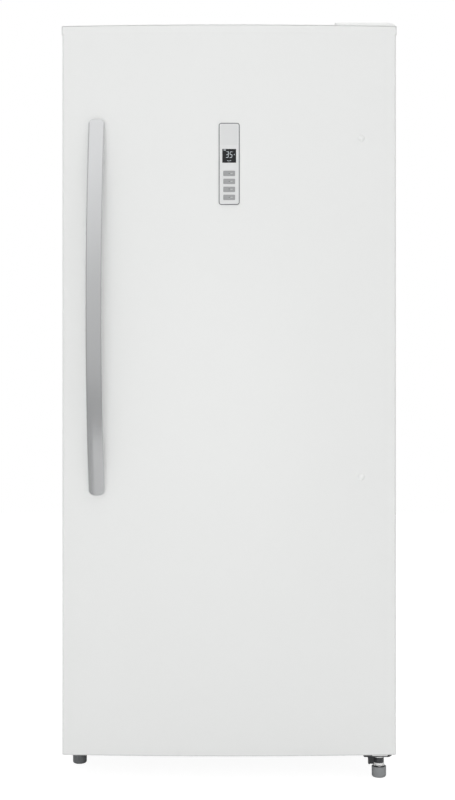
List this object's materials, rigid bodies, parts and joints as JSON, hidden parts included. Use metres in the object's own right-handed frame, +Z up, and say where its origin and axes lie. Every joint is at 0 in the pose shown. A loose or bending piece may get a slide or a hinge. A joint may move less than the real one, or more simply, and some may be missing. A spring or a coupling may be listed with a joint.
{
  "type": "refrigerator",
  "caption": "Tall single-door refrigerator without a freezer: bowed white door on a right-hand hinge, bowed silver handle, small control panel, glass shelves, crispers and door bins.",
  "frame": {"origin": "middle of the bounding box's bottom, on the floor the feet stand on", "axes": "+Z up, the door faces -Y, +X to the right of someone facing the door"},
  "size_m": [0.84, 0.8339, 1.919],
  "materials": {
    "painted_steel": "satin",
    "zinc_steel": "satin",
    "foam": "matte",
    "white_liner": "gloss",
    "coil_aluminium": "satin",
    "dark_steel": "satin",
    "lamp_lens": "satin",
    "shelf_plastic": "satin",
    "shelf_glass": "polished",
    "clear_plastic": "gloss",
    "cap_plastic": "satin",
    "grey_foot": "satin",
    "black_plastic": "satin",
    "compressor_paint": "satin",
    "black_rubber": "matte",
    "cover_grey": "matte",
    "grey_cap": "satin",
    "gasket_vinyl": "matte",
    "handle_silver": "satin",
    "panel_grey": "satin",
    "display_black": "polished",
    "circuit_board": "satin",
    "key_grey": "satin"
  },
  "bodies": {
    "cabinet": {"outer_case": "painted_steel", "rear_panel": "zinc_steel", "base_pan": "zinc_steel", "cabinet_foam": "foam", "inner_liner": "white_liner", "air_duct_cover": "white_liner", "evaporator": "coil_aluminium", "evaporator_fan_motor": "dark_steel", "lamp_lens": "lamp_lens", "shelf_glass_1": "shelf_glass", "shelf_glass_2": "shelf_glass", "shelf_glass_3": "shelf_glass", "shelf_glass_4": "shelf_glass", "shelf_frame_1": "shelf_plastic", "shelf_frame_2": "shelf_plastic", "shelf_frame_3": "shelf_plastic", "shelf_frame_4": "shelf_plastic", "crisper_cover_glass": "shelf_glass", "crisper_cover_frame": "shelf_plastic", "top_hinge_bracket": "zinc_steel", "top_hinge_pin": "zinc_steel", "hinge_cover": "cap_plastic", "bottom_hinge_bracket": "dark_steel", "bottom_hinge_pin": "zinc_steel", "roller_brackets": "zinc_steel", "compressor": "compressor_paint", "compressor_grommets": "black_rubber", "condenser": "dark_steel", "condenser_fan_motor": "black_plastic", "drain_pan": "black_plastic", "machine_cover": "cover_grey"},
    "door": {"door_skin": "painted_steel", "door_foam": "foam", "door_liner": "white_liner", "door_top_cap": "cap_plastic", "door_bottom_cap": "grey_cap", "door_gasket": "gasket_vinyl", "handle": "handle_silver", "handle_studs": "zinc_steel", "plug_buttons": "cap_plastic", "control_bezel": "panel_grey", "display_window": "display_black", "control_board": "circuit_board"},
    "crisper_left": {"crisper_left": "clear_plastic"},
    "crisper_right": {"crisper_right": "clear_plastic"},
    "evaporator_fan": {"evaporator_fan": "white_liner"},
    "condenser_fan": {"condenser_fan": "black_plastic"},
    "right_foot": {"right_foot": "grey_foot"},
    "left_foot": {"left_foot": "grey_foot"},
    "roller_left": {"roller_left": "black_plastic"},
    "roller_right": {"roller_right": "black_plastic"},
    "key_1": {"key_1": "key_grey"},
    "key_2": {"key_2": "key_grey"},
    "key_3": {"key_3": "key_grey"},
    "key_4": {"key_4": "key_grey"},
    "door_bin_1": {"door_bin_1": "clear_plastic"},
    "door_bin_2": {"door_bin_2": "clear_plastic"},
    "door_bin_3": {"door_bin_3": "clear_plastic"},
    "door_bin_4": {"door_bin_4": "clear_plastic"},
    "door_bin_5": {"door_bin_5": "clear_plastic"}
  },
  "joints": [
    {"name": "door_hinge", "type": "hinge", "parent": "cabinet", "child": "door", "pos_m": [0.378, -0.32145, 0.974], "axis": [0, 0, 1], "range_deg": [0, 125]},
    {"name": "crisper_left_slide", "type": "slide", "parent": "cabinet", "child": "crisper_left", "axis": [0, -1, 0], "range_m": [0, 0.104]},
    {"name": "crisper_right_slide", "type": "slide", "parent": "cabinet", "child": "crisper_right", "axis": [0, -1, 0], "range_m": [0, 0.104]},
    {"name": "door_bin_1_lift", "type": "slide", "parent": "door", "child": "door_bin_1", "axis": [0, 0, 1], "range_m": [0, 0.03]},
    {"name": "door_bin_2_lift", "type": "slide", "parent": "door", "child": "door_bin_2", "axis": [0, 0, 1], "range_m": [0, 0.03]},
    {"name": "door_bin_3_lift", "type": "slide", "parent": "door", "child": "door_bin_3", "axis": [0, 0, 1], "range_m": [0, 0.03]},
    {"name": "door_bin_4_lift", "type": "slide", "parent": "door", "child": "door_bin_4", "axis": [0, 0, 1], "range_m": [0, 0.03]},
    {"name": "door_bin_5_lift", "type": "slide", "parent": "door", "child": "door_bin_5", "axis": [0, 0, 1], "range_m": [0, 0.03]},
    {"name": "key_1_press", "type": "slide", "parent": "door", "child": "key_1", "axis": [0, 1, 0], "range_m": [0, 0.0008], "stiffness_N_per_m": 1800, "springref_m": -0.0006},
    {"name": "key_2_press", "type": "slide", "parent": "door", "child": "key_2", "axis": [0, 1, 0], "range_m": [0, 0.0008], "stiffness_N_per_m": 1800, "springref_m": -0.0006},
    {"name": "key_3_press", "type": "slide", "parent": "door", "child": "key_3", "axis": [0, 1, 0], "range_m": [0, 0.0008], "stiffness_N_per_m": 1800, "springref_m": -0.0006},
    {"name": "key_4_press", "type": "slide", "parent": "door", "child": "key_4", "axis": [0, 1, 0], "range_m": [0, 0.0008], "stiffness_N_per_m": 1800, "springref_m": -0.0006},
    {"name": "evaporator_fan_spin", "type": "hinge", "parent": "cabinet", "child": "evaporator_fan", "pos_m": [0, 0.32755, 0.683], "axis": [0, 1, 0], "continuous": true},
    {"name": "condenser_fan_spin", "type": "hinge", "parent": "cabinet", "child": "condenser_fan", "pos_m": [0.168, 0.31255, 0.152], "axis": [1, 0, 0], "continuous": true},
    {"name": "right_foot_turn", "type": "hinge", "parent": "cabinet", "child": "right_foot", "pos_m": [0.378, -0.32145, 0.02], "axis": [0, 0, 1], "continuous": true},
    {"name": "left_foot_turn", "type": "hinge", "parent": "cabinet", "child": "left_foot", "pos_m": [-0.391, -0.20045, 0.02], "axis": [0, 0, 1], "continuous": true},
    {"name": "roller_left_roll", "type": "hinge", "parent": "cabinet", "child": "roller_left", "pos_m": [-0.36, 0.35055, 0.022], "axis": [1, 0, 0], "continuous": true},
    {"name": "roller_right_roll", "type": "hinge", "parent": "cabinet", "child": "roller_right", "pos_m": [0.36, 0.35055, 0.022], "axis": [1, 0, 0], "continuous": true}
  ]
}
